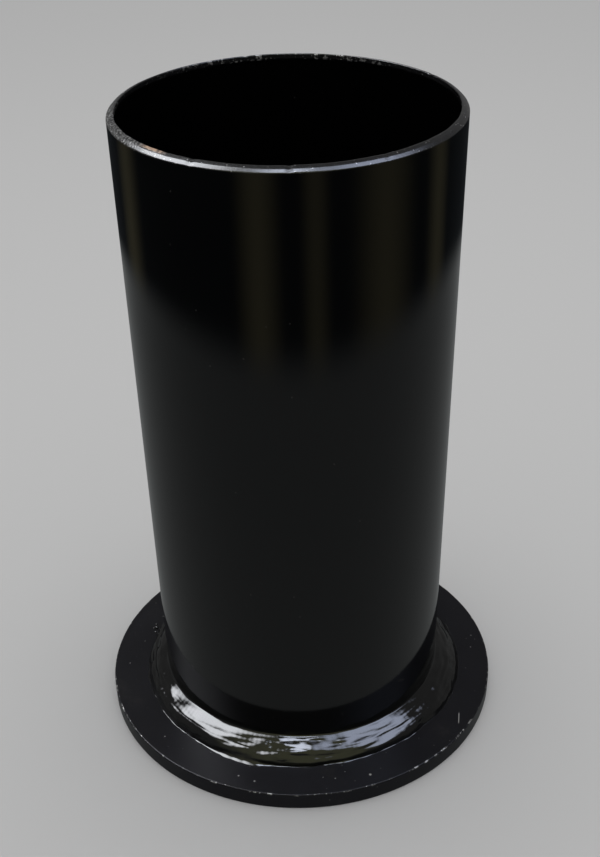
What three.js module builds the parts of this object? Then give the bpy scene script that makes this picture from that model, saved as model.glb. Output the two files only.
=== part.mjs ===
// Fabricated pipe end flange: a thin-walled steel pipe set into a flat ring plate, joined to it by a
// two-layer fillet weld outside and a seal weld inside the ring's bore.
// Millimetres, +Z up along the pipe. The origin is on the pipe's axis, in the underside of the ring plate.
import * as THREE from "three";

// Driving dimensions.
const PIPE_OUTER_DIAMETER = 114.3; // DN 100 steel pipe
const PIPE_WALL = 2.6;
const OVERALL_HEIGHT = 240;
const PIPE_SETBACK = 3.4; // the pipe stops this far above the plate's underside, for the seal weld
const END_LAND = 0.8; // flat left on the pipe's free end, inside its weld bevel
const END_BEVEL_ANGLE = 37.5; // degrees, measured from the end face
const PLATE_OUTER_DIAMETER = 161;
const PLATE_THICKNESS = 7.5;
const BORE_CLEARANCE = 0.5; // radial gap between the pipe and the plate's bore
const PLATE_EDGE_BREAK = 0.6; // chamfer on the plate's outer corners
const BORE_EDGE_BREAK = 0.4; // chamfer on the plate's bore
const FILLET_LEG_PLATE = 9.0; // outer weld, measured along the plate
const FILLET_LEG_PIPE = 8.4; // outer weld, measured up the pipe
const ROOT_LEG = 4.4; // first pass, along the plate and up the pipe
const BEAD_CROWN = 0.7; // how far each bead's face bulges past its chord
const SEAL_LEG = 2.5; // inner weld, across the pipe's end

// Clearances between pieces that are fused or touching on the real object.
const JOINT_GAP = 0.3;
const BEAD_GAP = 0.4; // between one weld pass and the next

// How finely the round shapes are cut.
const ROUND_SEGMENTS = 96;
const BEAD_STEPS = 4;

const PIPE_RADIUS = PIPE_OUTER_DIAMETER / 2;
const PIPE_INNER_RADIUS = PIPE_RADIUS - PIPE_WALL;
const PLATE_RADIUS = PLATE_OUTER_DIAMETER / 2;
const BORE_RADIUS = PIPE_RADIUS + BORE_CLEARANCE;

// The finishes: one gloss black enamel over everything, thicker and shinier on the welds.
const pipePaint = { color: 0x0b0c0d, roughness: 0.22, metalness: 0 };
const platePaint = { color: 0x16171a, roughness: 0.45, metalness: 0 };
const weldPaint = { color: 0x08090a, roughness: 0.1, metalness: 0 };
const bareWeldMetal = { color: 0x6b6764, roughness: 0.5, metalness: 1 };

const object = new THREE.Group();

// Turns a closed outline of [radius, height] points about the Z axis and adds it as one named piece.
// The outline runs anticlockwise, with the radius to the right and the height up, so its faces look out.
function addTurnedPiece(name, outline, finish) {
  const closed = [...outline, outline[0]];
  const profile = closed.map(([radius, height]) => new THREE.Vector2(radius, height));
  const geometry = new THREE.LatheGeometry(profile, ROUND_SEGMENTS);
  geometry.rotateX(Math.PI / 2);
  const piece = new THREE.Mesh(geometry, new THREE.MeshStandardMaterial(finish));
  piece.name = name;
  object.add(piece);
}

// Points of a shallow curve from one point to another, bulging to the right of the way it runs.
// The shares say which stretch of the curve to take: 0 is its start and 1 its end.
function bulgedCurve(from, to, bulge, firstShare = 0, lastShare = 1) {
  const along = [to[0] - from[0], to[1] - from[1]];
  const length = Math.hypot(along[0], along[1]);
  const sideways = [along[1] / length, -along[0] / length];
  const points = [];
  for (let step = 0; step <= BEAD_STEPS; step++) {
    const share = firstShare + ((lastShare - firstShare) * step) / BEAD_STEPS;
    const height = 4 * bulge * share * (1 - share);
    points.push([
      from[0] + along[0] * share + sideways[0] * height,
      from[1] + along[1] * share + sideways[1] * height,
    ]);
  }
  return points;
}

// The pipe: square at its lower end, with a weld bevel round its free end.
function addPipe() {
  const bevelHeight = (PIPE_WALL - END_LAND) * Math.tan(THREE.MathUtils.degToRad(END_BEVEL_ANGLE));
  const outline = [
    [PIPE_INNER_RADIUS, PIPE_SETBACK],
    [PIPE_RADIUS, PIPE_SETBACK],
    [PIPE_RADIUS, OVERALL_HEIGHT - bevelHeight],
    [PIPE_INNER_RADIUS + END_LAND, OVERALL_HEIGHT],
    [PIPE_INNER_RADIUS, OVERALL_HEIGHT],
  ];
  addTurnedPiece("neck_pipe", outline, pipePaint);
}

// The flat ring plate round the pipe's lower end, with its corners broken. Its top is divided at the outer
// weld's toe, so that the clear land outside the weld is a face of its own.
function addPlate() {
  const landInnerRadius = PIPE_RADIUS + FILLET_LEG_PLATE + JOINT_GAP;
  const outline = [
    [BORE_RADIUS, BORE_EDGE_BREAK],
    [BORE_RADIUS + BORE_EDGE_BREAK, 0],
    [PLATE_RADIUS - PLATE_EDGE_BREAK, 0],
    [PLATE_RADIUS, PLATE_EDGE_BREAK],
    [PLATE_RADIUS, PLATE_THICKNESS - PLATE_EDGE_BREAK],
    [PLATE_RADIUS - PLATE_EDGE_BREAK, PLATE_THICKNESS],
    [landInnerRadius, PLATE_THICKNESS],
    [BORE_RADIUS, PLATE_THICKNESS],
  ];
  addTurnedPiece("flange_plate", outline, platePaint);
}

// The outer fillet weld: a root pass in the corner, then a lower and an upper bead side by side over it.
// Every point is given from the corner between the pipe and the plate, outwards and upwards.
function addOuterFillet() {
  const corner = [PIPE_RADIUS + JOINT_GAP, PLATE_THICKNESS + JOINT_GAP];
  const place = ([out, up]) => [corner[0] + out, corner[1] + up];

  const rootLow = [ROOT_LEG, 0];
  const rootHigh = [0, ROOT_LEG];
  const rootPass = [[0, 0], ...bulgedCurve(rootLow, rootHigh, BEAD_CROWN)];
  addTurnedPiece("weld_root_pass", rootPass.map(place), bareWeldMetal);

  // Both beads lie on the root pass and meet half-way up the fillet, in a shallow valley.
  const bedLow = [ROOT_LEG + BEAD_GAP, 0];
  const bedHigh = [0, ROOT_LEG + BEAD_GAP];
  const plateToe = [FILLET_LEG_PLATE - JOINT_GAP, 0];
  const pipeToe = [0, FILLET_LEG_PIPE - JOINT_GAP];
  const valley = [plateToe[0] / 2, pipeToe[1] / 2];
  const halfGap = BEAD_GAP / 2 / Math.SQRT2;
  const valleyLow = [valley[0] + halfGap, valley[1] - halfGap];
  const valleyHigh = [valley[0] - halfGap, valley[1] + halfGap];
  const bedSplit = BEAD_GAP / 2 / Math.hypot(bedLow[0], bedHigh[1]);

  const lowerBead = [
    ...bulgedCurve(plateToe, valleyLow, BEAD_CROWN),
    ...bulgedCurve(bedLow, bedHigh, BEAD_CROWN, 0, 0.5 - bedSplit).reverse(),
  ];
  addTurnedPiece("weld_lower_bead", lowerBead.map(place), weldPaint);

  const upperBead = [
    ...bulgedCurve(valleyHigh, pipeToe, BEAD_CROWN),
    ...bulgedCurve(bedLow, bedHigh, BEAD_CROWN, 0.5 + bedSplit, 1).reverse(),
  ];
  addTurnedPiece("weld_upper_bead", upperBead.map(place), weldPaint);
}

// The seal weld inside the bore, in the corner under the pipe's lower end. It stays clear of the underside.
function addSealWeld() {
  const wall = BORE_RADIUS - JOINT_GAP;
  const ceiling = PIPE_SETBACK - JOINT_GAP;
  const outline = [
    [wall, ceiling],
    ...bulgedCurve([wall - SEAL_LEG, ceiling], [wall, ceiling - SEAL_LEG], SEAL_LEG / 10),
  ];
  addTurnedPiece("inner_seal_weld", outline, weldPaint);
}

addPipe();
addPlate();
addOuterFillet();
addSealWeld();

export default object;
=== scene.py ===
import math

import bmesh
import bpy
import numpy as np
from mathutils import Matrix, Vector


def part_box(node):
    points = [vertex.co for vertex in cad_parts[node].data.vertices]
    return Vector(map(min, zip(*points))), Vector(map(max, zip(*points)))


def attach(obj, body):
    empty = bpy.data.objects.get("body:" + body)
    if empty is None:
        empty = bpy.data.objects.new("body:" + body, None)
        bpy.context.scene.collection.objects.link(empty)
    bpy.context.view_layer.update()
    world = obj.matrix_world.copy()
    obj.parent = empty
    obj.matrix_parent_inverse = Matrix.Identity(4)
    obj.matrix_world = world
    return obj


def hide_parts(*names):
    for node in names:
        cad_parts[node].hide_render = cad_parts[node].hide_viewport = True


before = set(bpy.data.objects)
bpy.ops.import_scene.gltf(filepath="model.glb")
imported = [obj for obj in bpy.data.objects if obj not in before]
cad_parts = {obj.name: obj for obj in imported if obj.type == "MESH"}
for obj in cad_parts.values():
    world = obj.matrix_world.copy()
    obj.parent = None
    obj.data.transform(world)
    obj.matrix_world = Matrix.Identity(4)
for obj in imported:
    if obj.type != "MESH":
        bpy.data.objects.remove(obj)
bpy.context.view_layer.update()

MM = 0.001

# Sizes that model.glb gives, in metres.
pipe_low, pipe_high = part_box("neck_pipe")
plate_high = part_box("flange_plate")[1]
seal_low, seal_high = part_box("inner_seal_weld")
PIPE_RADIUS = pipe_high.x
PIPE_TOP = pipe_high.z
PIPE_FOOT = pipe_low.z
PLATE_RADIUS = plate_high.x
PLATE_TOP = plate_high.z
FILLET_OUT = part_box("weld_lower_bead")[1].x - PIPE_RADIUS
FILLET_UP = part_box("weld_upper_bead")[1].z - PLATE_TOP

# Sizes that are inside those boxes.
PIPE_WALL = 2.6 * MM
END_LAND = 0.8 * MM
BEVEL_ANGLE = math.radians(37.5)
BORE_RADIUS = PIPE_RADIUS + 0.5 * MM
ROOT_LEG = 4.9 * MM  # the root pass and the gap over it

# Fineness of the meshes.
PIPE_STEPS = 480
PLATE_STEPS = 480
WELD_STEPS = 900
CORNER_STEPS = 5
BELOW_VALLEY_POINTS = 44
ABOVE_VALLEY_POINTS = 40
SEAL_POINTS = 14

# Seeds of the random draws.
FILLET_SEED = 7
LUMP_SEED = 8
SEAL_SEED = 9
SPATTER_SEED = 12
PIPE_SEED = 31
PLATE_SEED = 32
GRIT_SEED = 33

NOISE_REACH = 1.7  # ring_noise draws values up to this, and smoothing brings them to about 1
CORNER_HOLD = 0.3  # how far past a rounded corner's curve the flat is held, as a share of its radius


# ---------------------------------------------------------------- meshes

def spline_weights(part):
    """Weights of a cubic B-spline's four neighbours, this part of the way between the middle two."""
    return [
        (1 - part) ** 3 / 6,
        (3 * part**3 - 6 * part**2 + 4) / 6,
        (-3 * part**3 + 3 * part**2 + 3 * part + 1) / 6,
        part**3 / 6,
    ]


def ring_noise(draw, turn, across, cells, rows=1):
    """Smooth noise, mostly from -1 to 1, that closes round a ring. turn and across run from 0 to 1."""
    lattice = draw.uniform(-NOISE_REACH, NOISE_REACH, (rows + 3, cells))
    column, row = turn * cells, across * rows
    first_column = np.floor(column).astype(int)
    first_row = np.minimum(np.floor(row).astype(int), rows - 1)
    total = 0
    for i, row_weight in enumerate(spline_weights(row - first_row)):
        for j, column_weight in enumerate(spline_weights(column - first_column)):
            weight = row_weight * column_weight
            total = total + weight * lattice[first_row + i, (first_column + j) % cells]
    return total


def rounded(corners, radii):
    """An outline of (radius, height) corners with each corner rounded by its own radius."""
    points = []
    count = len(corners)
    for i, corner in enumerate(corners):
        here = np.array(corner, float)
        if not radii[i]:
            points.append(here)
            continue
        back = np.array(corners[i - 1], float) - here
        on = np.array(corners[(i + 1) % count], float) - here
        back /= np.linalg.norm(back)
        on /= np.linalg.norm(on)
        half = math.acos(float(np.clip(back @ on, -1, 1))) / 2
        reach = radii[i] / math.tan(half)
        middle = here + (back + on) / np.linalg.norm(back + on) * radii[i] / math.sin(half)
        start, end = here + back * reach - middle, here + on * reach - middle
        # A point just before the curve and one just after it keep the flats beside it flat when shaded.
        held = reach + CORNER_HOLD * radii[i]
        points.append(here + back * held)
        for step in range(CORNER_STEPS + 1):
            mixed = start + (end - start) * step / CORNER_STEPS
            points.append(middle + mixed / np.linalg.norm(mixed) * radii[i])
        points.append(here + on * held)
    return np.array(points)


def new_object(name, data):
    piece = bpy.data.objects.new(name, data)
    bpy.context.scene.collection.objects.link(piece)
    return piece


def ring_mesh(name, radius, height, sharp_degrees=35):
    """A closed ring. radius and height are arrays of (steps, points): its outline at each step round."""
    steps, points = radius.shape
    angle = np.arange(steps)[:, None] * 2 * np.pi / steps
    place = np.stack([radius * np.sin(angle), -radius * np.cos(angle), height], axis=-1)
    index = np.arange(steps * points).reshape(steps, points)
    onward = np.roll(index, -1, axis=0)
    next_index = np.roll(index, -1, axis=1)
    next_onward = np.roll(onward, -1, axis=1)
    faces = np.stack([index, onward, next_onward, next_index], axis=-1)
    mesh = bpy.data.meshes.new(name)
    mesh.from_pydata(place.reshape(-1, 3).tolist(), [], faces.reshape(-1, 4).tolist())
    mesh.shade_smooth()
    mesh.set_sharp_from_angle(angle=math.radians(sharp_degrees))
    return new_object(name, mesh)


def turns(steps):
    return np.arange(steps)[:, None] / steps


def spread(outline, steps):
    """The same outline at every step round: (radius, height) arrays that can be changed."""
    return (np.repeat(outline[None, :, i], steps, axis=0) for i in (0, 1))


def column(value, like):
    return np.broadcast_to(value, like.shape).copy()


def ramp(value, low, high):
    """0 below low and 1 above high, with a straight slope between them."""
    return np.clip((value - low) / (high - low), 0, 1)


def hump(degrees, azimuth, width):
    """1 at this azimuth, and less and less on both sides of it."""
    away = (degrees - azimuth + 180) % 360 - 180
    return np.exp(-((away / width) ** 2))


# ---------------------------------------------------------------- materials

class Finish:
    """A node material in the making. Its methods add a node and give back the socket with the result."""

    def __init__(self, name, **sockets):
        self.material = bpy.data.materials.new(name)
        self.material.use_nodes = True
        self.tree = self.material.node_tree
        self.shader = self.tree.nodes["Principled BSDF"]
        self.place = self.node("TexCoord").outputs["Object"]
        self.set(self.shader, sockets)

    def set(self, node, sockets):
        for name, value in sockets.items():
            socket = node.inputs[name if isinstance(name, int) else name.replace("_", " ")]
            if isinstance(value, bpy.types.NodeSocket):
                self.tree.links.new(value, socket)
            else:
                socket.default_value = value

    def node(self, kind, properties=None, **sockets):
        node = self.tree.nodes.new("ShaderNode" + kind)
        for name, value in (properties or {}).items():
            setattr(node, name, value)
        self.set(node, sockets)
        return node

    def math(self, operation, first, second=0.0):
        node = self.node("Math", {"operation": operation})
        self.set(node, {0: first, 1: second})
        return node.outputs[0]

    def times(self, value, *others):
        for other in others:
            value = self.math("MULTIPLY", value, other)
        return value

    def most(self, value, *others):
        for other in others:
            value = self.math("MAXIMUM", value, other)
        return value

    def stretched(self, x, y, z):
        node = self.node("VectorMath", {"operation": "MULTIPLY"})
        self.set(node, {0: self.place, 1: (x, y, z)})
        return node.outputs[0]

    def noise(self, scale, detail=2.0, roughness=0.5, place=None):
        sockets = {"Scale": scale, "Detail": detail, "Roughness": roughness}
        return self.node("TexNoise", Vector=place or self.place, **sockets).outputs["Fac"]

    def specks(self, scale, size):
        """1 inside small round spots and 0 elsewhere. size is a share of the spots' spacing."""
        spots = self.node("TexVoronoi", Vector=self.place, Scale=scale).outputs["Distance"]
        return self.fade(spots, size, size * 0.6)

    def fade(self, value, low, high):
        """0 at low and 1 at high, with a smooth step between them. low may be the larger."""
        properties = {"interpolation_type": "SMOOTHSTEP"}
        if low <= high:
            node = self.node("MapRange", properties)
            self.set(node, {"Value": value, "From Min": low, "From Max": high})
            return node.outputs["Result"]
        node = self.node("MapRange", properties)
        self.set(node, {"Value": value, "From Min": high, "From Max": low, "To Min": 1.0, "To Max": 0.0})
        return node.outputs["Result"]

    def blend(self, share, first, second):
        """A colour mix of two colours or sockets."""
        node = self.node("Mix", {"data_type": "RGBA"})
        for socket, value in ((0, share), (6, first), (7, second)):
            self.set(node, {socket: value})
        return node.outputs[2]

    def between(self, share, first, second):
        """A number that goes from first to second."""
        node = self.node("Mix", {"data_type": "FLOAT"})
        for socket, value in ((0, share), (2, first), (3, second)):
            self.set(node, {socket: value})
        return node.outputs[0]

    def bump(self, height, depth, onto=None):
        sockets = {"Height": height, "Distance": depth, "Strength": 1.0}
        if onto is not None:
            sockets["Normal"] = onto
        return self.node("Bump", **sockets).outputs["Normal"]

    def axis(self, name):
        return self.node("SeparateXYZ", Vector=self.place).outputs[name]

    def radius(self):
        flat = self.stretched(1, 1, 0)
        return self.node("VectorMath", {"operation": "LENGTH"}, Vector=flat).outputs["Value"]

    def azimuth(self):
        """Degrees round the Z axis from -Y, positive towards +X."""
        angle = self.math("ARCTAN2", self.axis("X"), self.times(self.axis("Y"), -1.0))
        return self.times(angle, math.degrees(1))

    def aside(self, azimuth):
        """Degrees to either side of this azimuth."""
        return self.math("ABSOLUTE", self.math("SUBTRACT", self.azimuth(), azimuth))

    def wrapped(self, around, across):
        """A texture place that follows the ring: degrees times around, and millimetres times across."""
        steps = self.times(self.azimuth(), around)
        out = self.times(self.radius(), across / MM)
        up = self.times(self.axis("Z"), across / MM)
        return self.node("CombineXYZ", X=steps, Y=out, Z=up).outputs["Vector"]

    def finish(self, piece, **sockets):
        self.set(self.shader, sockets)
        piece.data.materials.clear()
        piece.data.materials.append(self.material)


def grey(level):
    return (level, level, level, 1.0)


# Where the pipe's end shows wear or rust: degrees from the front, degrees to each side where the wear ends,
# and degrees to each side where it is still full. The pale steel of the scuffs is partly wear and partly
# painted glints.
SCUFFS_AND_GLINTS = (-68.0, 34.0, 14.0)
RUST = (-46.0, 7.0, 2.0)
# Behind, pale steel flecks past these degrees are partly chips and partly painted glints.
GLINTING_BARE_FROM = 125.0  # degrees from the front, on both sides
GLINTING_BARE_FULL = 165.0


def rim_wear(paint, rim, spots):
    """(pale steel, rust) masks of the pipe's end; the pale steel is partly wear and partly painted glints.
    rim is its mask and spots is fine noise.
    """
    azimuth, reach, full = SCUFFS_AND_GLINTS
    # The scuffs on the left side: pale steel that is partly wear and partly painted glints.
    scuffs_and_glints = paint.times(paint.fade(spots, 0.40, 0.64), paint.fade(paint.aside(azimuth), reach, full), 0.5)
    chipped = paint.fade(spots, 0.65, 0.70)
    # Behind: pale steel flecks, partly chips and partly painted glints.
    behind = paint.fade(paint.aside(0.0), GLINTING_BARE_FROM, GLINTING_BARE_FULL)
    bare_chips_and_glints = paint.times(paint.fade(paint.noise(420.0, 3.0, 0.7), 0.54, 0.62), behind)
    worn_and_glints = paint.times(rim, paint.most(chipped, scuffs_and_glints, bare_chips_and_glints))

    azimuth, reach, full = RUST
    rust_place = paint.times(paint.fade(paint.aside(azimuth), reach, full), rim)
    inner_edge = paint.fade(paint.radius(), PIPE_RADIUS - 1.0 * MM, PIPE_RADIUS - 1.8 * MM)
    rust = paint.times(rust_place, inner_edge, paint.fade(spots, 0.35, 0.5))
    return worn_and_glints, rust


def pipe_enamel():
    """Smooth gloss black over drawn tube. The bevelled end is filed, with spots of pale steel, dull spots
    and rusty spots; the pale steel on the left and behind is partly painted glints.
    """
    paint = Finish("pipe_enamel")
    rim = paint.fade(paint.axis("Z"), PIPE_TOP - 1.9 * MM, PIPE_TOP - 1.3 * MM)
    strokes = paint.noise(2.2, 3.0, 0.65, place=paint.wrapped(1.0, 0.12))
    spots = paint.noise(1100.0, 3.0, 0.7)
    worn_and_glints, rust = rim_wear(paint, rim, spots)

    cloud = paint.noise(22.0, 3.0)
    black = paint.blend(cloud, (0.0005, 0.0006, 0.0007, 1), (0.0013, 0.0013, 0.0013, 1))
    dust = paint.times(paint.specks(130.0, 0.045), 0.12)
    dusty = paint.blend(dust, black, (0.16, 0.15, 0.14, 1))
    filed = paint.blend(paint.times(rim, 0.5), dusty, (0.012, 0.012, 0.013, 1))
    steel = paint.blend(strokes, (0.14, 0.14, 0.14, 1), (0.50, 0.49, 0.48, 1))
    # Pale steel where the end has wear, and where glints are painted on the left and behind.
    colour = paint.blend(worn_and_glints, filed, steel)
    colour = paint.blend(rust, colour, (0.30, 0.19, 0.12, 1))

    rough = paint.between(paint.noise(60.0, 3.0), 0.06, 0.10)
    rough = paint.between(rim, rough, 0.22)
    rough = paint.between(worn_and_glints, rough, 0.34)
    rough = paint.between(rust, rough, 0.75)

    peel = paint.bump(paint.noise(700.0, 1.0), 0.0025 * MM)
    drawn = paint.bump(paint.noise(300.0, 2.0, place=paint.stretched(1, 1, 0.02)), 0.006 * MM, peel)
    rim_bumps = paint.times(paint.math("ADD", strokes, spots), rim)
    normal = paint.bump(rim_bumps, 0.03 * MM, drawn)
    metal = paint.times(worn_and_glints, 0.6)
    sockets = {"Base Color": colour, "Roughness": rough, "Metallic": metal, "Normal": normal}
    return paint, sockets


# The larger marks on the plate: degrees from the front, distance from the axis, and radius of the spot.
PLATE_MARKS = (
    (20, PLATE_RADIUS - 5.5 * MM, 0.65 * MM),
    (-15, PLATE_RADIUS - 5.5 * MM, 0.50 * MM),
    (-50, PLATE_RADIUS - 7.5 * MM, 0.35 * MM),
)
SMALL_GRIT = 7
GRIT_BAND = 7.0  # width in millimetres of the ring that holds the small grit
GRIT_BAND_INNER = PLATE_RADIUS - 10.5 * MM
SCRATCH = ((60, PLATE_RADIUS - 6.5 * MM), (55, PLATE_RADIUS - 3.5 * MM))  # its two ends


def on_plate(azimuth, radius):
    turn = math.radians(azimuth)
    return Vector((radius * math.sin(turn), -radius * math.cos(turn), PLATE_TOP))


def grit_mask(paint):
    """1 on each of the plate's spots of grit."""
    draw = np.random.default_rng(GRIT_SEED)
    spots = list(PLATE_MARKS)
    for _ in range(SMALL_GRIT):
        azimuth = draw.uniform(-180, 180)
        radius = GRIT_BAND_INNER + draw.uniform(0, GRIT_BAND) * MM
        spots.append((azimuth, radius, draw.uniform(0.25, 0.45) * MM))
    total = 0.0
    for azimuth, radius, size in spots:
        away = paint.node("VectorMath", {"operation": "DISTANCE"})
        paint.set(away, {0: paint.place, 1: on_plate(azimuth, radius)})
        spot = paint.fade(away.outputs["Value"], size, size * 0.5)
        total = paint.most(spot, total)
    return total


def scratch_mask(paint):
    """1 along the one short bright scratch on the plate."""
    start, end = (on_plate(azimuth, radius) for azimuth, radius in SCRATCH)
    along = end - start
    turned = paint.node("Mapping", {"vector_type": "TEXTURE"}, Vector=paint.place)
    turned.inputs["Location"].default_value = (start + end) / 2
    turned.inputs["Rotation"].default_value = (0, 0, math.atan2(along.y, along.x))
    parts = paint.node("SeparateXYZ", Vector=turned.outputs["Vector"]).outputs
    half = along.length / 2
    length = paint.fade(paint.math("ABSOLUTE", parts["X"]), half, half - 1.5 * MM)
    width = paint.fade(paint.math("ABSOLUTE", parts["Y"]), 0.26 * MM, 0.10 * MM)
    return paint.times(length, width)


def plate_enamel():
    """Satin black over rolled plate, with grit under the paint and pale flecks along the outer top corner,
    partly wear and partly a painted highlight.
    """
    paint = Finish("plate_enamel", Specular_IOR_Level=0.12)
    near_top = paint.fade(paint.axis("Z"), PLATE_TOP - 0.65 * MM, PLATE_TOP - 0.45 * MM)
    near_edge = paint.fade(paint.radius(), PLATE_RADIUS - 0.75 * MM, PLATE_RADIUS - 0.5 * MM)
    corner = paint.times(near_top, near_edge)
    # Pale flecks on the outer top corner: partly wear through the paint, partly a painted highlight along
    # the corner.
    corner_wear_and_highlight = paint.times(corner, paint.fade(paint.noise(330.0, 4.0, 0.7), 0.54, 0.66))
    marks = paint.most(grit_mask(paint), scratch_mask(paint))
    pale = (0.30, 0.30, 0.29, 1)

    cloud = paint.noise(45.0, 4.0, 0.6)
    black = paint.blend(cloud, (0.0066, 0.0065, 0.0080, 1), (0.0112, 0.0111, 0.0134, 1))
    smudge = paint.fade(paint.noise(28.0, 5.0, 0.7), 0.56, 0.78)
    smudged = paint.blend(paint.times(smudge, 0.10), black, (0.16, 0.15, 0.13, 1))
    dust = paint.times(paint.specks(190.0, 0.06), 0.25)
    marked = paint.blend(paint.most(dust, marks), smudged, pale)
    # The corner's pale flecks: wear and a painted highlight.
    colour = paint.blend(corner_wear_and_highlight, marked, pale)

    satin = paint.between(paint.noise(90.0, 4.0, 0.65), 0.26, 0.38)
    broken = paint.fade(paint.noise(260.0, 3.0, 0.6), 0.40, 0.55)
    rough = paint.between(paint.times(corner, broken), satin, 0.26)
    rough = paint.between(corner_wear_and_highlight, rough, 0.36)

    grain = paint.bump(paint.noise(520.0, 4.0, 0.6), 0.03 * MM)
    pits = paint.bump(paint.specks(210.0, 0.12), -0.04 * MM, grain)
    nibs = paint.bump(marks, 0.10 * MM, pits)
    metal = paint.times(corner_wear_and_highlight, 0.5)
    sockets = {"Base Color": colour, "Roughness": rough, "Metallic": metal, "Normal": nibs}
    return paint, sockets


def weld_enamel():
    """Thick wet-look black over weld beads, with fine streaks that run along them, and a little dust."""
    paint = Finish("weld_enamel")
    dust = paint.times(paint.specks(240.0, 0.05), 0.08)
    cloud = paint.noise(120.0, 3.0)
    black = paint.blend(cloud, (0.0010, 0.0010, 0.0011, 1), (0.0028, 0.0028, 0.0026, 1))
    colour = paint.blend(dust, black, (0.2, 0.2, 0.18, 1))
    rough = paint.between(paint.noise(260.0, 3.0, 0.6), 0.03, 0.09)
    skin = paint.bump(paint.noise(650.0, 2.0), 0.012 * MM)
    streak = paint.noise(0.7, 3.0, 0.55, place=paint.wrapped(0.35, 1.0))
    streaks = paint.bump(streak, 0.05 * MM, skin)
    sockets = {"Base Color": colour, "Roughness": rough, "Normal": streaks}
    return paint, sockets


def weld_metal():
    """As-welded steel with dark scale, for the pass under the covering beads."""
    metal = Finish("weld_metal", Metallic=1.0)
    scale = metal.fade(metal.noise(350.0, 4.0, 0.6), 0.42, 0.58)
    colour = metal.blend(scale, (0.40, 0.39, 0.37, 1), (0.10, 0.09, 0.10, 1))
    rough = metal.between(scale, 0.38, 0.62)
    ripple = metal.bump(metal.noise(900.0, 2.0), 0.06 * MM)
    return metal, {"Base Color": colour, "Roughness": rough, "Normal": ripple}


# ---------------------------------------------------------------- pieces

# Nicks in the bevel: degrees from the front, and depth as a share of the deepest.
RIM_NICKS = ((-30, 1.0), (0, 1.0), (30, 0.6), (-75, 0.8), (120, 1.0), (-165, 0.9))
NICK_DEPTH = 0.3 * MM
NICK_WIDTH = 0.7  # degrees to each side
# The steep part of the softened bevel goes this far in and stops this far under the top, as shares of the
# bevel's height.
STEEP_IN = 0.65
STEEP_STOPS = 0.33
LAND_KEPT = 0.75  # of the land's width, once it is softened
RIM_DEPTH = 1.8 * MM  # how far down the lumps in the rim reach


def make_pipe():
    """The pipe. Its bevel is softened to a steep and a shallow part, with a few nicks in it."""
    inner = PIPE_RADIUS - PIPE_WALL
    bevel = (PIPE_WALL - END_LAND) * math.tan(BEVEL_ANGLE)
    corners = [
        (inner, PIPE_FOOT),
        (PIPE_RADIUS, PIPE_FOOT),
        (PIPE_RADIUS, PIPE_TOP - bevel),
        (PIPE_RADIUS - bevel * STEEP_IN, PIPE_TOP - bevel * STEEP_STOPS),
        (inner + END_LAND * LAND_KEPT, PIPE_TOP),
        (inner, PIPE_TOP),
        (inner, PIPE_TOP - 2.0 * MM),
        (inner, PIPE_TOP - 2.6 * MM),
    ]
    # The last two corners hold the bore straight below the rim's lumps.
    outline = rounded(corners, [0, 0, 0.6 * MM, 1.0 * MM, 0.6 * MM, 0.2 * MM, 0, 0])
    radius, height = spread(outline, PIPE_STEPS)
    draw = np.random.default_rng(PIPE_SEED)
    turn = turns(PIPE_STEPS)
    at_rim = ramp(height, PIPE_TOP - RIM_DEPTH, PIPE_TOP - RIM_DEPTH / 3)
    lumps = ring_noise(draw, turn, 0.5, 90) + 0.6 * ring_noise(draw, turn, 0.5, 220)
    height -= at_rim * (0.035 * lumps + 0.05) * MM
    at_bore = ramp(PIPE_RADIUS - radius, 1.5 * MM, 2.5 * MM)
    radius += at_rim * at_bore * np.abs(0.16 * ring_noise(draw, turn, 0.5, 160)) * MM
    for azimuth, depth in RIM_NICKS:
        height -= at_rim * NICK_DEPTH * depth * hump(turn * 360, azimuth, NICK_WIDTH)
    piece = ring_mesh("neck_pipe_shell", radius, height)
    paint, sockets = pipe_enamel()
    paint.finish(piece, **sockets)
    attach(piece, "root")
    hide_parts("neck_pipe")


def make_plate():
    """The ring plate, cut from rolled plate: its top corner is softened and a little uneven."""
    corners = [
        (BORE_RADIUS, 0),
        (PLATE_RADIUS, 0),
        (PLATE_RADIUS, PLATE_TOP),
        (BORE_RADIUS, PLATE_TOP),
    ]
    top_corner = 0.6 * MM
    outline = rounded(corners, [0.4 * MM, 0.5 * MM, top_corner, 0.2 * MM])
    radius, height = spread(outline, PLATE_STEPS)
    draw = np.random.default_rng(PLATE_SEED)
    turn = turns(PLATE_STEPS)
    at_corner = ramp(radius, PLATE_RADIUS - top_corner, PLATE_RADIUS)
    uneven = ring_noise(draw, turn, 0.5, 40) + 0.5 * ring_noise(draw, turn, 0.5, 130)
    radius -= at_corner * (0.06 * uneven + 0.08) * MM
    piece = ring_mesh("flange_plate_ring", radius, height)
    paint, sockets = plate_enamel()
    paint.finish(piece, **sockets)
    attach(piece, "root")
    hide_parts("flange_plate")


# Stretches of the outer weld that differ from the rest: degrees from the front, and degrees to each side.
SWELL = (85, 38)  # it is wider and lower
CALM = (-45, 16)  # its face is smoother
WASHED = (-22, 11)  # its lower toe runs out over the plate


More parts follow.
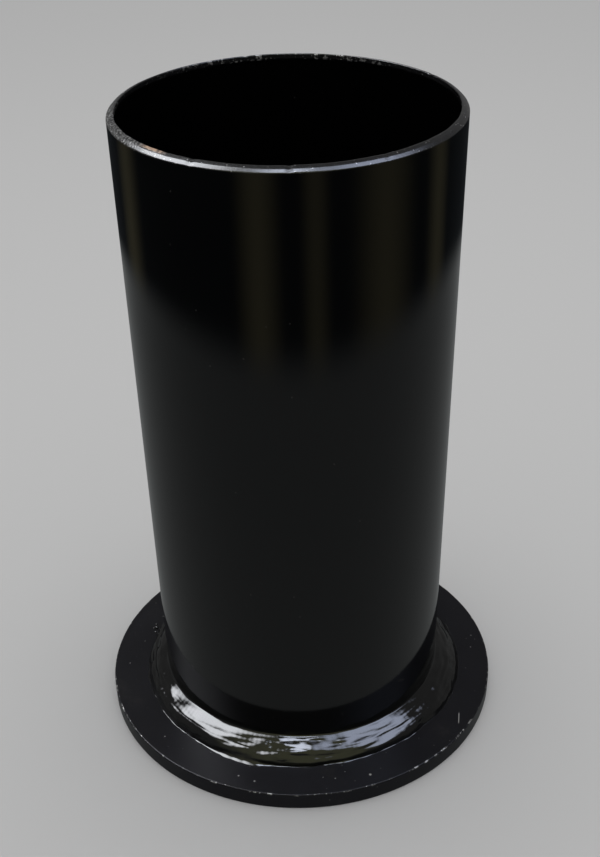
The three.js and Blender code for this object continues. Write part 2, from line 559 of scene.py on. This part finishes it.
class Fillet:
    """The shape of the outer weld's face: where it is at each turn round and share of the way up."""

    def __init__(self, steps):
        draw = np.random.default_rng(FILLET_SEED)
        self.turn = turns(steps)
        degrees = self.turn * 360
        swell = hump(degrees, *SWELL)
        self.out = FILLET_OUT + (1.7 * swell - 0.5) * MM
        self.out = self.out + 0.45 * MM * ring_noise(draw, self.turn, 0.5, 22)
        self.out = self.out + 0.26 * MM * ring_noise(draw, self.turn, 0.5, 75)
        self.out = self.out + 0.20 * MM * ring_noise(draw, self.turn, 0.5, 190)
        self.up = FILLET_UP - 0.8 * swell * MM
        self.up = self.up + 0.6 * MM * ring_noise(draw, self.turn, 0.5, 18)
        self.up = self.up + 0.25 * MM * ring_noise(draw, self.turn, 0.5, 60)
        self.valley = 0.45 + 0.06 * ring_noise(draw, self.turn, 0.5, 16)
        self.coarse = 1 - 0.6 * hump(degrees, *CALM)
        flare = 0.03 + 0.5 * np.clip(ring_noise(draw, self.turn, 0.5, 30) - 0.1, 0, 1)
        flare = flare + 0.6 * np.clip(ring_noise(draw, self.turn, 0.5, 160) - 0.2, 0, 1)
        self.flare = (flare + 1.5 * hump(degrees, *WASHED)) * MM

    def crown(self, share):
        """Millimetres by which the face stands proud of the line between its toes, without the lumps."""
        steep_below = 1 - np.exp(-share / 0.22)
        flat_above = 1 - share**2.2
        groove = 0.06 * np.exp(-(((share - self.valley) / 0.035) ** 2))
        return 2.0 * steep_below * flat_above - groove

    def lumps(self, share):
        """Millimetres of lumps and streaks in the metal. All are longer along the weld than across."""
        draw = np.random.default_rng(LUMP_SEED)
        total = 0.42 * ring_noise(draw, self.turn, share, 40, 3)
        total = total + 0.28 * self.coarse * ring_noise(draw, self.turn, share, 90, 6)
        total = total + 0.26 * self.coarse * ring_noise(draw, self.turn, share, 70, 11)
        total = total + 0.07 * self.coarse * ring_noise(draw, self.turn, share, 120, 20)
        ripple = self.turn * 172 + 1.5 * ring_noise(draw, self.turn, 0.5, 40)
        ripple = ripple + 1.2 * (share - self.valley) ** 2
        return total + 0.008 * np.sin(2 * np.pi * ripple)

    def face(self, share):
        """(radius, height) of the face. share is 0 on the plate and 1 on the pipe."""
        away_from_toes = np.clip(4 * share * (1 - share), 0, 1) ** 0.6
        proud = (self.crown(share) + self.lumps(share) * away_from_toes) * MM
        length = np.hypot(self.out, self.up)
        above = self.up * share + proud * self.out / length
        beyond = self.out * (1 - share) + proud * self.up / length
        # Paint gathers in a small hollow curve along each toe.
        radius = PIPE_RADIUS + beyond + self.flare * np.exp(-np.maximum(above, 0) / (0.36 * self.flare))
        height = PLATE_TOP + above + 0.35 * MM * np.exp(-np.maximum(beyond, 0) / (0.15 * MM))
        return radius, height


TUCK = 0.12 * MM  # how far a bead's hidden edges reach into its neighbours


def make_outer_beads():
    """The two covering beads. Each is closed behind by a plain face that hides over the root pass."""
    fillet = Fillet(WELD_STEPS)
    turn = fillet.turn
    over_root = ROOT_LEG / 2 + 0.5 * MM
    bed_out = column(PIPE_RADIUS + over_root, turn)
    bed_up = column(PLATE_TOP + over_root, turn)

    share = fillet.valley * np.linspace(0, 1, BELOW_VALLEY_POINTS)[None, :] ** 1.5
    radius, height = fillet.face(share)
    under_toe = radius[:, :1] - TUCK
    under_plate = column(PLATE_TOP - TUCK, turn)
    radius = np.hstack([column(PIPE_RADIUS + ROOT_LEG, turn), under_toe, radius, bed_out])
    height = np.hstack([under_plate, under_plate, height, bed_up])
    lower = ring_mesh("weld_lower_bead_skin", radius, height, sharp_degrees=50)

    share = fillet.valley + (1 - fillet.valley) * np.linspace(0, 1, ABOVE_VALLEY_POINTS)[None, :]
    radius, height = fillet.face(share)
    below, under = radius[:, :1] - TUCK, height[:, :1] - TUCK
    behind = column(PIPE_RADIUS - TUCK, turn)
    radius = np.hstack([bed_out - TUCK, below, radius, behind, behind])
    top, foot = height[:, -1:] - TUCK, column(PLATE_TOP + ROOT_LEG, turn)
    height = np.hstack([bed_up - TUCK, under, height, top, foot])
    upper = ring_mesh("weld_upper_bead_skin", radius, height, sharp_degrees=50)

    paint, sockets = weld_enamel()
    for piece, node in ((lower, "weld_lower_bead"), (upper, "weld_upper_bead")):
        paint.finish(piece, **sockets)
        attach(piece, "root")
        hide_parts(node)
    return paint


def make_seal_bead(paint):
    """The seal weld under the pipe's lower end, rippled like the outer one."""
    steps = WELD_STEPS // 2
    draw = np.random.default_rng(SEAL_SEED)
    turn = turns(steps)
    share = np.linspace(0, 1, SEAL_POINTS)[None, :]
    wall, ceiling = BORE_RADIUS + 0.05 * MM, PIPE_FOOT + 0.05 * MM
    across = seal_high.z - seal_low.z
    edge = 4 * share * (1 - share)
    ripples = 0.05 * np.sin(2 * np.pi * (turn * 160 - 0.8 * (2 * share - 1) ** 2)) * edge
    proud = (0.35 * edge + 0.15 * ring_noise(draw, turn, share, 60, 2) * edge + ripples) * MM
    radius = wall - across * (1 - share) - proud * 0.7
    height = ceiling - across * share - proud * 0.7
    radius = np.hstack([column(wall, turn), radius])
    height = np.hstack([column(ceiling, turn), height])
    piece = ring_mesh("inner_seal_bead", radius, height, sharp_degrees=50)
    piece.data.materials.append(paint.material)
    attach(piece, "root")
    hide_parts("inner_seal_weld")


SPATTER_CLUSTER = (-110.0, PLATE_RADIUS - 12.5 * MM)  # degrees from the front, and distance from the axis
SPATTER_BALLS = 30
CLUSTER_BALLS = 6


def make_spatter(paint):
    """Small balls of weld spatter under the paint: a cluster of larger ones, and the rest by the toe."""
    draw = np.random.default_rng(SPATTER_SEED)
    balls = bmesh.new()
    for i in range(SPATTER_BALLS):
        if i < CLUSTER_BALLS:
            azimuth = SPATTER_CLUSTER[0] + draw.normal(0, 2.6)
            radius = SPATTER_CLUSTER[1] + draw.normal(0, 0.8) * MM
            size = draw.uniform(0.4, 0.75) * MM
        else:
            azimuth = draw.uniform(-180, 180)
            radius = PIPE_RADIUS + FILLET_OUT + (0.8 + draw.exponential(2.2)) * MM
            size = draw.uniform(0.15, 0.35) * MM
        radius = min(radius, PLATE_RADIUS - 1.5 * MM)
        centre = on_plate(azimuth, radius) + Vector((0, 0, size * draw.uniform(0.0, 0.35)))
        bmesh.ops.create_icosphere(balls, subdivisions=2, radius=size, matrix=Matrix.Translation(centre))
    mesh = bpy.data.meshes.new("weld_spatter")
    balls.to_mesh(mesh)
    balls.free()
    mesh.shade_smooth()
    piece = new_object("weld_spatter", mesh)
    piece.data.materials.append(paint.material)
    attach(piece, "root")


def finish_root_pass():
    """The root pass keeps its CAD shape, sealed in under the beads."""
    metal, sockets = weld_metal()
    metal.finish(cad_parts["weld_root_pass"], **sockets)


# ---------------------------------------------------------------- studio

def glow(name):
    """An emission material, with the same helpers as a finish."""
    light = Finish(name)
    light.tree.nodes.remove(light.shader)
    light.shader = light.node("Emission")
    output = light.tree.nodes["Material Output"]
    light.tree.links.new(light.shader.outputs[0], output.inputs["Surface"])
    return light


def stage_mesh(name, place, faces):
    mesh = bpy.data.meshes.new(name)
    mesh.from_pydata(place, [], faces)
    piece = new_object(name, mesh)
    return piece


def flat_disc(name, radius, height, steps=96):
    """A flat disc round the Z axis, as stage dressing."""
    place = []
    for i in range(steps):
        angle = 2 * math.pi * i / steps
        place.append((radius * math.sin(angle), -radius * math.cos(angle), height))
    return stage_mesh(name, place, [list(range(steps))])


def only_in_reflections(card):
    card.visible_camera = False
    card.visible_diffuse = False
    card.visible_shadow = False
    card.visible_transmission = False
    card.visible_volume_scatter = False


FLOOR_RADIUS = 8.0
FLOOR_TONE = 0.60


def make_floor():
    """A plain pale floor. The gloss shows the painted reflection of a dark cloth instead."""
    floor = flat_disc("studio_floor", FLOOR_RADIUS, 0.0)
    floor.visible_glossy = False
    paper = Finish("studio_floor", Roughness=1.0, Specular_IOR_Level=0.0)
    paper.finish(floor, **{"Base Color": grey(FLOOR_TONE)})


TENT_RADIUS = 2.0
TENT_TONE = (0.20, 0.20, 0.20, 1)
# The dark cloth round the object, as the gloss shows it: a painted reflection glowing on a card, not lit
# cloth. It is wider behind than in front.
CLOTH_RADIUS = 0.44
CLOTH_HEM = 0.04  # how far in and out of that radius it fades
CLOTH_SET_BACK = 0.05
CLOTH_REFLECTION_GLOW = (0.165, 0.172, 0.172, 1)
# The near-black ground past the cloth: a painted reflection, glowing on the card.
BEYOND_REFLECTION_GLOW = (0.016, 0.018, 0.020, 1)
HAZE_START = 0.8  # from here out the ground fades into the tent
# Dim strips of light painted on the card past the cloth: degrees from the front, degrees to each side, and
# share of the full tone.
PAINTED_STRIP_LIGHTS = ((-120, 16, 0.5), (-20, 18, 1.0), (15, 12, 0.7), (60, 28, 0.8), (105, 14, 0.6))
PAINTED_STRIP_GLOW = (0.20, 0.18, 0.11, 1)


def make_cloth():
    """The ground's painted reflection in the gloss, glowing on a card: dark cloth, then darker ground with a
    few painted dim strips of light, then haze.
    """
    just_over_floor = 0.2 * MM
    card = flat_disc("cloth_reflection_card", TENT_RADIUS, just_over_floor)
    only_in_reflections(card)
    light = glow("cloth_reflection")
    lit = 0.0
    for azimuth, reach, level in PAINTED_STRIP_LIGHTS:
        strip = light.times(light.fade(light.aside(azimuth), reach, 0.0), level)
        lit = light.most(strip, lit)
    # Painted strips of light on the darker ground, glowing on the card.
    beyond = light.blend(lit, BEYOND_REFLECTION_GLOW, PAINTED_STRIP_GLOW)
    distance = light.node("VectorMath", {"operation": "DISTANCE"})
    light.set(distance, {0: light.place, 1: (0, CLOTH_SET_BACK, 0)})
    away = distance.outputs["Value"]
    past = light.fade(away, CLOTH_RADIUS - CLOTH_HEM, CLOTH_RADIUS + CLOTH_HEM)
    haze = light.fade(away, HAZE_START, TENT_RADIUS)
    # The painted reflection: cloth, then darker ground, then haze.
    ground = light.blend(past, CLOTH_REFLECTION_GLOW, light.blend(haze, beyond, TENT_TONE))
    light.finish(card, **{"Color": ground, "Strength": 1.0})


# Soft round lamps on the tent: degrees from the front, degrees up, degrees from the lamp's middle to where
# it starts to fade and to where it ends, and its colour.
LAMPS = (
    (0, 40, 10, 60, (0.65, 0.66, 0.42, 1)),
    (-95, 52, 10, 28, (14.0, 14.3, 15.0, 1)),
    (66, 54, 3, 28, (5.5, 6.1, 7.8, 1)),
    (-6, 69, 2, 14, (13.0, 14.0, 16.5, 1)),
)


def towards(azimuth, elevation):
    """The unit vector at these degrees from the front and up."""
    turn, up = math.radians(azimuth), math.radians(elevation)
    return (math.sin(turn) * math.cos(up), -math.cos(turn) * math.cos(up), math.sin(up))


def make_tent(rows=24, steps=64):
    """A dim light tent with soft lamps on it, seen only in the object's gloss."""
    place = []
    for i in range(rows):
        for j in range(steps):
            place.append([TENT_RADIUS * c for c in towards(360 * j / steps, 90 * i / rows)])
    place.append((0, 0, TENT_RADIUS))
    faces = []
    for j in range(steps):
        k = (j + 1) % steps
        for i in range(rows - 1):
            faces.append((i * steps + j, i * steps + k, (i + 1) * steps + k, (i + 1) * steps + j))
        faces.append(((rows - 1) * steps + j, (rows - 1) * steps + k, rows * steps))
    tent = stage_mesh("tent_reflection_card", place, faces)
    only_in_reflections(tent)
    light = glow("tent_reflection")
    colour = TENT_TONE
    for azimuth, elevation, core, edge, tone in LAMPS:
        facing = light.node("VectorMath", {"operation": "DOT_PRODUCT"})
        light.set(facing, {0: light.place, 1: towards(azimuth, elevation)})
        inside = [TENT_RADIUS * math.cos(math.radians(degrees)) for degrees in (edge, core)]
        colour = light.blend(light.fade(facing.outputs["Value"], *inside), colour, tone)
    light.finish(tent, **{"Color": colour, "Strength": 1.0})


WORLD_TONE = 0.64
FLOOR_LAMP_PLACE = (0, 0.15, 1.1)
FLOOR_LAMP_SIZE = 0.8
FLOOR_LAMP_WATTS = 2.8


def make_lights():
    """Even light from all round, and one soft lamp over the object and the floor behind it."""
    world = bpy.data.worlds.new("studio")
    bpy.context.scene.world = world
    world.use_nodes = True
    background = world.node_tree.nodes["Background"]
    background.inputs["Color"].default_value = grey(WORLD_TONE)
    background.inputs["Strength"].default_value = 1.0
    lamp = bpy.data.lights.new("floor_lamp", "AREA")
    lamp.shape = "DISK"
    lamp.size = FLOOR_LAMP_SIZE
    lamp.energy = FLOOR_LAMP_WATTS
    stand = new_object("floor_lamp", lamp)
    stand.location = FLOOR_LAMP_PLACE
    stand.visible_camera = False
    stand.visible_glossy = False


CAMERA_BACK = 0.3992  # metres in front of the axis
CAMERA_UP = 0.3625
LOOKS_DOWN = math.radians(39.05)
LEANS = math.radians(-1.44)
LENS_MM = 51.69
SENSOR_MM = 36.0
LENS_SHIFT = 0.2


def make_camera():
    """The camera stands in front of the object and looks down at it, leaning a little to one side."""
    data = bpy.data.cameras.new("camera")
    data.lens = LENS_MM
    data.sensor_width = SENSOR_MM
    data.sensor_fit = "AUTO"
    data.shift_y = LENS_SHIFT
    camera = new_object("camera", data)
    tilt = Matrix.Rotation(math.pi / 2 - LOOKS_DOWN, 4, "X") @ Matrix.Rotation(LEANS, 4, "Z")
    camera.matrix_world = Matrix.Translation((0, -CAMERA_BACK, CAMERA_UP)) @ tilt
    bpy.context.scene.camera = camera
    bpy.context.scene.view_settings.view_transform = "Standard"


make_camera()
make_pipe()
make_plate()
bead_paint = make_outer_beads()
make_seal_bead(bead_paint)
make_spatter(bead_paint)
finish_root_pass()
make_floor()
make_cloth()
make_tent()
make_lights()
